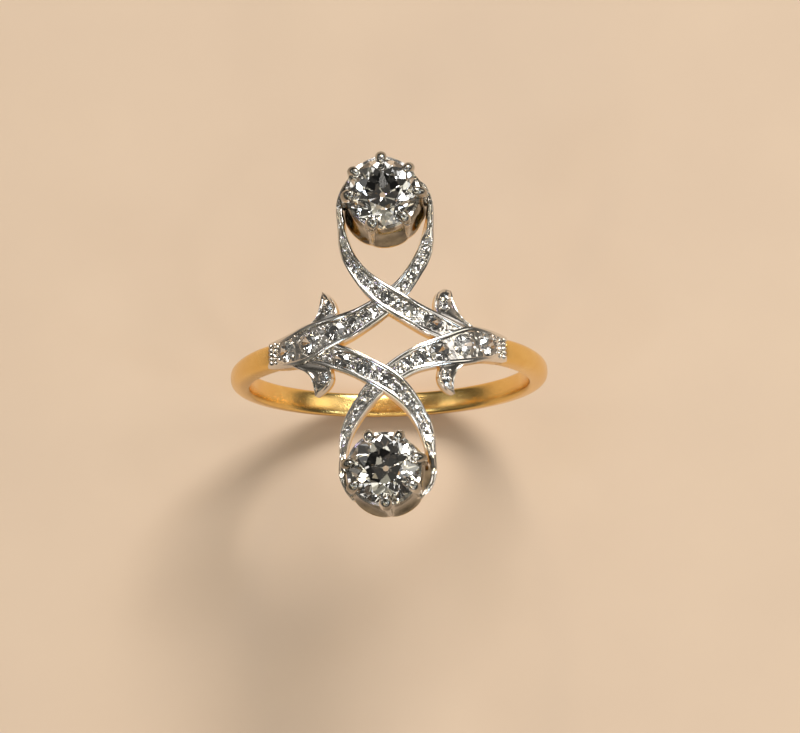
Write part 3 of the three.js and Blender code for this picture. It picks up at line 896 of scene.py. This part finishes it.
def metal(name, tones, roughness, brushing, relief, patch_scale=500, bump_depth=0.01, dark=0.3):
    """Metal with slow colour change, wear in its polish and fine scratches along one direction.

    Patches whose noise lies under dark have the first tone. The bump's depth is in millimetres.
    """
    material, nodes, links, shader = node_material(name)
    place = nodes.new("ShaderNodeTexCoord").outputs["Object"]
    stretch = nodes.new("ShaderNodeMapping")
    stretch.inputs["Scale"].default_value = brushing
    links.new(place, stretch.inputs["Vector"])
    scratches = noise(nodes, links, stretch.outputs["Vector"], SCRATCH_SCALE, 3, 0.7)
    patches = noise(nodes, links, place, patch_scale, 5, 0.6)
    share = remapped(nodes, links, patches, 0, 1, dark)
    links.new(blended(nodes, links, share, *tones), shader.inputs["Base Color"])
    worn = nodes.new("ShaderNodeMath")
    worn.operation = "ADD"
    links.new(remapped(nodes, links, scratches, *roughness), worn.inputs[0])
    links.new(remapped(nodes, links, patches, -POLISH_WEAR, POLISH_WEAR), worn.inputs[1])
    links.new(worn.outputs[0], shader.inputs["Roughness"])
    bump = nodes.new("ShaderNodeBump")
    bump.inputs["Strength"].default_value = relief
    bump.inputs["Distance"].default_value = bump_depth * MM
    links.new(scratches, bump.inputs["Height"])
    links.new(bump.outputs["Normal"], shader.inputs["Normal"])
    shader.inputs["Metallic"].default_value = 1
    return material


DIAMOND_IOR = 2.417
DIAMOND_CLOUDS = 900
DIAMOND_HAZE = 0.015


def diamond_material(name, tint, clearness):
    material, nodes, links, shader = node_material(name)
    place = nodes.new("ShaderNodeTexCoord").outputs["Object"]
    clouds = noise(nodes, links, place, DIAMOND_CLOUDS, 2)
    colour = blended(nodes, links, remapped(nodes, links, clouds, 0, 1), tint, (1, 1, 1))
    links.new(colour, shader.inputs["Base Color"])
    links.new(remapped(nodes, links, clouds, 0, DIAMOND_HAZE, 0.4, 0.8), shader.inputs["Roughness"])
    shader.inputs["IOR"].default_value = DIAMOND_IOR
    shader.inputs["Transmission Weight"].default_value = clearness
    return material


FLOOR_TONES = ((0.665, 0.505, 0.37), (0.7, 0.535, 0.39))
FLOOR_CLOUDS = 60
FLOOR_ROUGHNESS = 0.8


def floor_material():
    material, nodes, links, shader = node_material("pale_floor")
    place = nodes.new("ShaderNodeTexCoord").outputs["Object"]
    clouds = noise(nodes, links, place, FLOOR_CLOUDS, 5)
    colour = blended(nodes, links, remapped(nodes, links, clouds, 0, 1), *FLOOR_TONES)
    links.new(colour, shader.inputs["Base Color"])
    shader.inputs["Roughness"].default_value = FLOOR_ROUGHNESS
    return material


GOLD_TONES = ((0.84, 0.53, 0.165), (0.92, 0.63, 0.23))
PLATINUM_TONES = ((0.72, 0.68, 0.625), (0.86, 0.825, 0.78))
# Painted shade: the collet flank's dark tones stand in for reflections of a dark room
PAINTED_SHADE_WALL_TONES = ((0.07, 0.062, 0.047), (0.33, 0.3, 0.235))
# Painted shade: the claws' darker tones stand in for reflections of a dark room
PAINTED_SHADE_CLAW_TONES = ((0.16, 0.145, 0.12), (0.6, 0.57, 0.51))
GOLD = metal("satin_yellow_gold", GOLD_TONES, (0.17, 0.28), (1, 6, 1), 0.35)
PLATINUM = metal("polished_white_metal", PLATINUM_TONES, (0.08, 0.2), (2, 1, 2), 0.25)
PAINTED_SHADE_WALL = metal("cast_white_metal", PAINTED_SHADE_WALL_TONES, (0.04, 0.16), (0.22, 0.22, 0.12), 0.8, 900, 0.02, 0.35)
PAINTED_SHADE_CLAW_METAL = metal("worn_white_metal", PAINTED_SHADE_CLAW_TONES, (0.1, 0.24), (1, 1, 1), 0.4, 1500)
DIAMOND = diamond_material("old_cut_diamond", (0.97, 0.945, 0.89), 1)
SMALL_DIAMOND = diamond_material("small_old_cut_diamond", (0.92, 0.885, 0.83), 0.955)


# ---- assembly
def finish_piece(piece, material, slot, *nodes):
    """Gives a piece its material and its place in the ring."""
    piece.data.materials.clear()
    piece.data.materials.append(material)
    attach(piece, "root")
    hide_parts(*nodes)


OTHER = {"upper": "lower", "lower": "upper", "left": "right", "right": "left"}


def other_half(name):
    return "_".join(OTHER.get(word, word) for word in name.split("_"))


def both_halves(piece, material, slot, *nodes):
    """Finishes a piece of the upper half and makes its twin half a turn on."""
    twin = half_turned(piece, other_half(piece.name))
    finish_piece(piece, material, slot, *nodes)
    finish_piece(twin, material, slot, *[other_half(n) for n in nodes])


def cut_by(pieces, makers):
    for make in makers:
        room = make()
        for piece in pieces:
            combine(piece, room, "DIFFERENCE")
        discard(room)


def turned_path(path):
    return [(-x, -y, width, lift) for x, y, width, lift in path]


# Directions from a stone to its grains
GRAIN_TURNS = {"big": [0.62, 2.52, -0.62, -2.52], "small": [0.75, -0.75], "leaf": [0.8, 2.4, -0.8, -2.4]}
GRAIN_STRAY = 0.1
GRAIN_SHARE = 0.18  # of the stone's radius
GRAIN_LEAST = 0.045
GRAIN_MOST = 0.085
BIG_STONE = 0.38
HAND_TILT = math.radians(5)


def hand_tilt(rng):
    """No two stones set by hand stand quite level."""
    return Matrix.Rotation(rng.uniform(-HAND_TILT, HAND_TILT), 4, "X") @ Matrix.Rotation(
        rng.uniform(-HAND_TILT, HAND_TILT), 4, "Y"
    )


def set_stones(face, back, path, stones, label, tiny=()):
    """Cuts the seats, raises the grains and makes the stones of one ribbon."""
    rng = random.Random(label)
    grains, cut_stones = [], []
    for index, (x, y, radius, stretch) in enumerate([*stones, *tiny]):
        place = stone_place(path, x, y) @ hand_tilt(rng)
        is_node = index < len(stones)
        points, faces = seat_cutter(place, radius, stretch, is_node)
        cutter = facing_out(to_object("cutter", points, faces))
        combine(face, cutter, "DIFFERENCE")
        if is_node:
            combine(back, cutter, "DIFFERENCE")
        discard(cutter)
        name = f"{label}_{index + 1}_cut"
        stone = cut_small_stone(name, place, radius, stretch, rng.uniform(0, math.pi / 4))
        cut_stones.append((stone, is_node))
        angles = GRAIN_TURNS["big" if radius > BIG_STONE else "small"]
        angles = [a + rng.uniform(-GRAIN_STRAY, GRAIN_STRAY) for a in angles]
        size = np.clip(GRAIN_SHARE * radius, GRAIN_LEAST, GRAIN_MOST)
        grains += grains_round(place, radius, stretch, size, angles)
    beads = joined("grains", grains)
    combine(face, beads, "UNION")
    discard(beads)
    return cut_stones


END_BEADS = [(-7.12, 0.15, 5), (-6.84, 0.1, 4)]  # rows as (x, radius, how many)
BEAD_MARGIN = 0.1


def end_beads(face, path):
    """Rows of beads across the shoulder's square end."""
    parts = []
    for x, size, count in END_BEADS:
        half = 0.5 * SHANK_WIDTH_TOP - size - BEAD_MARGIN
        for y in np.linspace(-half, half, count):
            points, faces = grain_of_metal(size, (0, 0), GRAIN_ROOT)
            parts.append((placed(points, stone_place(path, x, y)), faces))
    beads = joined("beads", parts)
    combine(face, beads, "UNION")
    discard(beads)


def finish_stones(cut_stones, label):
    for index, (stone, is_node) in enumerate(cut_stones):
        nodes = [f"{label}_{index + 1}"] if is_node else []
        both_halves(stone, SMALL_DIAMOND, "diamond", *nodes)


def build_ribbon(kind, side, path, cutters, stones, tiny=()):
    """One ribbon's two layers with its stones, and the same on the other half of the head."""
    face = ribbon_face(f"{kind}_face_{side}_set", path)
    back = ribbon_back(f"{kind}_back_{side}_backing", path)
    cut_by([face, back], cutters)
    label = f"{kind}_diamond_{side}"
    cut_stones = set_stones(face, back, path, stones, label, tiny)
    if kind == "shoulder":
        end_beads(face, path)
    both_halves(smooth(face, 22), PLATINUM, "white_metal", f"{kind}_face_{side}")
    both_halves(smooth(back), GOLD, "yellow_gold", f"{kind}_back_{side}")
    finish_stones(cut_stones, label)


LEAF_GRAIN = 0.07
LEAF_STONE_TURN = 0.3


def build_leaf(corner, cutters):
    """One leaf's two layers with its stone, turned to the lower half if it belongs there."""
    shape = LEAVES[corner]
    face = leaf_face(f"leaf_face_{corner}_cut", shape)
    back = leaf_back(f"leaf_back_{corner}_backing", shape)
    cut_by([face, back], cutters)
    x, y, radius, stretch = shape["stone"]
    place = seat_frame(x, y, math.pi / 2) @ Matrix.Translation((0, 0, -LEAF_STONE_SINK))
    points, faces = seat_cutter(place, radius, stretch, False)
    cutter = facing_out(to_object("cutter", points, faces))
    combine(face, cutter, "DIFFERENCE")
    combine(back, cutter, "DIFFERENCE")
    discard(cutter)
    stone = cut_small_stone(f"leaf_diamond_{corner}_cut", place, radius, stretch, LEAF_STONE_TURN)
    parts = grains_round(place, radius, stretch, LEAF_GRAIN, GRAIN_TURNS["leaf"], LEAF_GRAIN_ROOT)
    grains = joined("grains", parts)
    combine(face, grains, "UNION")
    discard(grains)
    if corner.startswith("lower"):
        for piece in (face, back, stone):
            piece.data.transform(Matrix.Rotation(math.pi, 4, "Z"))
    finish_piece(smooth(face, 25), PLATINUM, "white_metal", f"leaf_face_{corner}")
    finish_piece(smooth(back), GOLD, "yellow_gold", f"leaf_back_{corner}")
    finish_piece(stone, SMALL_DIAMOND, "diamond", f"leaf_diamond_{corner}")


def build_ring():
    finish_piece(shank("shank_band"), GOLD, "yellow_gold", "shank")
    left = partial(ribbon_room, SHOULDER_PATH)
    right = partial(ribbon_room, turned_path(SHOULDER_PATH))
    crossing = partial(ribbon_room, CROSSOVER_PATH)
    build_ribbon("shoulder", "left", SHOULDER_PATH, [crossing], SHOULDER_STONES)
    ends = [right, collet_room]
    build_ribbon("crossover", "upper", CROSSOVER_PATH, ends, CROSSOVER_STONES, CROSSOVER_GRAIN_STONES)
    ends = [crossing, collet_room]
    build_ribbon("loop", "upper", LOOP_PATH, ends, LOOP_STONES, LOOP_GRAIN_STONES)
    for corner in LEAVES:
        shoulder = left if LEAVES[corner]["stone"][0] < 0 else right
        build_leaf(corner, [shoulder, crossing])
    for half in COLLET_MIDDLES:
        flank, ring = collet(half), collet_ring(half)
        for piece in (flank, ring):
            if half == "lower":
                piece.data.transform(Matrix.Rotation(math.pi, 4, "Z"))
            leaned(piece, half == "lower")
        finish_piece(flank, PLATINUM, "white_metal", f"collet_{half}")
        shade_wall(flank, half)
        finish_piece(ring, GOLD, "yellow_gold", f"collet_ring_{half}")
    stone = hull("main_diamond_upper_cut", brilliant(GIRDLE_RADIUS, **MAIN_CUT) + [0, COLLET_Y, GIRDLE_Z])
    both_halves(stone, DIAMOND, "diamond", "main_diamond_upper")


# ---- room, lights and camera
ROLL = math.radians(1.57)
YAW = math.radians(-0.32)
PITCH = math.radians(-12.3)
CAMERA_DISTANCE = 240
CAMERA_OFFSET = (0.68, 0.6)  # to the right and up
LENS = 171.9
SENSOR = 36
CLIP_START = 0.01  # metres


def build_camera():
    turn = Matrix.Rotation(ROLL, 3, "Z") @ Matrix.Rotation(YAW, 3, "Y") @ Matrix.Rotation(PITCH, 3, "X")
    back = turn.transposed()
    data = bpy.data.cameras.new("camera")
    data.sensor_width = SENSOR
    data.lens = LENS
    data.clip_start = CLIP_START
    camera = bpy.data.objects.new("camera", data)
    place = back @ Vector((*CAMERA_OFFSET, CAMERA_DISTANCE)) * MM
    camera.matrix_world = Matrix.Translation(place) @ back.to_4x4()
    bpy.context.scene.collection.objects.link(camera)
    bpy.context.scene.camera = camera


WHITE = (1, 1, 1)
COOL = (0.68, 0.84, 1)
WARM = (1, 0.84, 0.55)
OLIVE = (0.9, 0.86, 0.68)
VIOLET = (0.72, 0.62, 1)
# Panels round the ring as (turn from +X, tilt from +Z, size, brightness, colour), in degrees and millimetres
PANELS = [
    (12, 32, 34, 14, WHITE),
    (52, 52, 34, 14, COOL),
    (128, 32, 30, 12, WHITE),
    (172, 52, 30, 8, WHITE),
    (212, 34, 34, 14, COOL),
    (250, 52, 34, 14, WARM),
    (292, 40, 34, 14, WHITE),
    (332, 52, 34, 14, COOL),
    (92, 56, 34, 14, WARM),
    (150, 20, 16, 14, VIOLET),
    (30, 20, 18, 14, WARM),
    (180, 38, 90, 0.5, OLIVE),
    (200, 62, 110, 0.25, OLIVE),
    (145, 58, 100, 0.4, WHITE),
    (232, 44, 80, 0.42, WARM),
    (275, 58, 90, 0.85, OLIVE),
    (312, 58, 90, 1.1, WHITE),
    (350, 40, 80, 0.8, WHITE),
    (8, 62, 90, 0.9, OLIVE),
    (112, 44, 70, 1.8, WHITE),
    (25, 7, 26, 0.5, OLIVE),
    (140, 8, 24, 0.42, OLIVE),
    (255, 9, 28, 0.6, OLIVE),
    (268, 31, 26, 10, WHITE),
    (215, 17, 44, 0.5, OLIVE),
    (285, 19, 48, 0.35, OLIVE),
    (335, 16, 36, 0.7, OLIVE),
    (45, 3, 26, 0.4, OLIVE),
    (2, 19, 38, 0.6, OLIVE),
    (182, 19, 34, 0.45, OLIVE),
    (57, 17, 20, 0.8, OLIVE),
]
PANEL_DISTANCE = 330
# Softboxes as (name, place, width and height, brightness, colour)
SOFTBOXES = [
    ("key_softbox", (110, 260, 300), (240, 150), 3.2, (1, 0.97, 0.92)),
    ("right_softbox", (310, 90, 200), (150, 190), 1.2, (1, 0.97, 0.93)),
    ("left_fill", (-300, 60, 190), (120, 200), 0.2, (1, 0.93, 0.84)),
    ("front_fill", (60, -330, 130), (260, 60), 1.4, (1, 0.96, 0.9)),
    ("dim_panel_1", (-150, -160, 300), (110, 90), 0.95, (1, 0.93, 0.74)),
    ("dim_panel_2", (170, -150, 290), (110, 90), 1.3, (1, 0.97, 0.86)),
    ("dim_panel_3", (-20, -230, 270), (90, 60), 1.1, (1, 0.93, 0.74)),
    ("dim_panel_4", (-110, 0, 330), (60, 60), 0.5, (1, 0.95, 0.8)),
]
SUN_FROM = (110, 260, 300)
SUN_STRENGTH = 1.85
SUN_SPREAD = 24  # degrees
SUN_COLOUR = (1, 0.97, 0.92)
FLOOR_REACH = 350
# Brightness of the room low down and overhead, and the upward shares of a direction where it changes
ROOM_WALLS = 0.2
ROOM_CEILING = 0.055
WALLS_END = 0.04
CEILING_START = 0.24
ROOM_COLOUR = (1, 0.95, 0.86, 1)
BACKDROP = (0.8, 0.68, 0.55, 1)
BACKDROP_STRENGTH = 0.9


def softbox(name, spot, size, brightness, colour):
    data = bpy.data.lights.new(name, "AREA")
    data.shape = "RECTANGLE"
    data.size, data.size_y = size[0] * MM, size[1] * MM
    data.energy = brightness * math.pi * data.size * data.size_y
    data.color = colour
    add_light(name, data, spot)


def add_light(name, data, spot):
    """Puts a light at a place in millimetres, facing the ring and unseen by the camera."""
    light = bpy.data.objects.new(name, data)
    light.location = Vector(spot) * MM
    light.rotation_euler = light.location.to_track_quat("Z", "Y").to_euler()
    light.visible_camera = False
    bpy.context.scene.collection.objects.link(light)


def build_world():
    """A dim room for the ring to reflect; the camera sees a pale backdrop in its place."""
    world = bpy.data.worlds.new("soft_room")
    bpy.context.scene.world = world
    world.use_nodes = True
    nodes, links = world.node_tree.nodes, world.node_tree.links
    room = nodes["Background"]
    room.inputs["Color"].default_value = ROOM_COLOUR
    direction = nodes.new("ShaderNodeSeparateXYZ")
    links.new(nodes.new("ShaderNodeTexCoord").outputs["Generated"], direction.inputs["Vector"])
    fall = nodes.new("ShaderNodeMapRange")
    fall.interpolation_type = "SMOOTHSTEP"
    links.new(direction.outputs["Z"], fall.inputs["Value"])
    fall.inputs["From Min"].default_value = WALLS_END
    fall.inputs["From Max"].default_value = CEILING_START
    fall.inputs["To Min"].default_value = ROOM_WALLS
    fall.inputs["To Max"].default_value = ROOM_CEILING
    links.new(fall.outputs["Result"], room.inputs["Strength"])
    backdrop = nodes.new("ShaderNodeBackground")
    backdrop.inputs["Color"].default_value = BACKDROP
    backdrop.inputs["Strength"].default_value = BACKDROP_STRENGTH
    choice = nodes.new("ShaderNodeMixShader")
    links.new(nodes.new("ShaderNodeLightPath").outputs["Is Camera Ray"], choice.inputs["Fac"])
    links.new(room.outputs["Background"], choice.inputs[1])
    links.new(backdrop.outputs["Background"], choice.inputs[2])
    links.new(choice.outputs["Shader"], nodes["World Output"].inputs["Surface"])


def build_floor():
    corners = ((-1, -1), (1, -1), (1, 1), (-1, 1))
    points = [(x * FLOOR_REACH, y * FLOOR_REACH, -HOOP_RADIUS) for x, y in corners]
    floor = to_object("floor", points, [(0, 1, 2, 3)])
    floor.data.materials.append(floor_material())


def build_studio():
    build_floor()
    build_world()
    for box in SOFTBOXES:
        softbox(*box)
    for i, (turn, tilt, size, brightness, colour) in enumerate(PANELS):
        turn, tilt = math.radians(turn), math.radians(tilt)
        spot = Vector((math.sin(tilt) * math.cos(turn), math.sin(tilt) * math.sin(turn), math.cos(tilt)))
        softbox(f"panel_{i + 1}", spot * PANEL_DISTANCE, (size, size), brightness, colour)
    sun = bpy.data.lights.new("sun", "SUN")
    sun.energy = SUN_STRENGTH
    sun.angle = math.radians(SUN_SPREAD)
    sun.color = SUN_COLOUR
    add_light("sun", sun, SUN_FROM)


build_ring()
build_studio()
build_camera()
bpy.context.scene.view_settings.view_transform = "Standard"
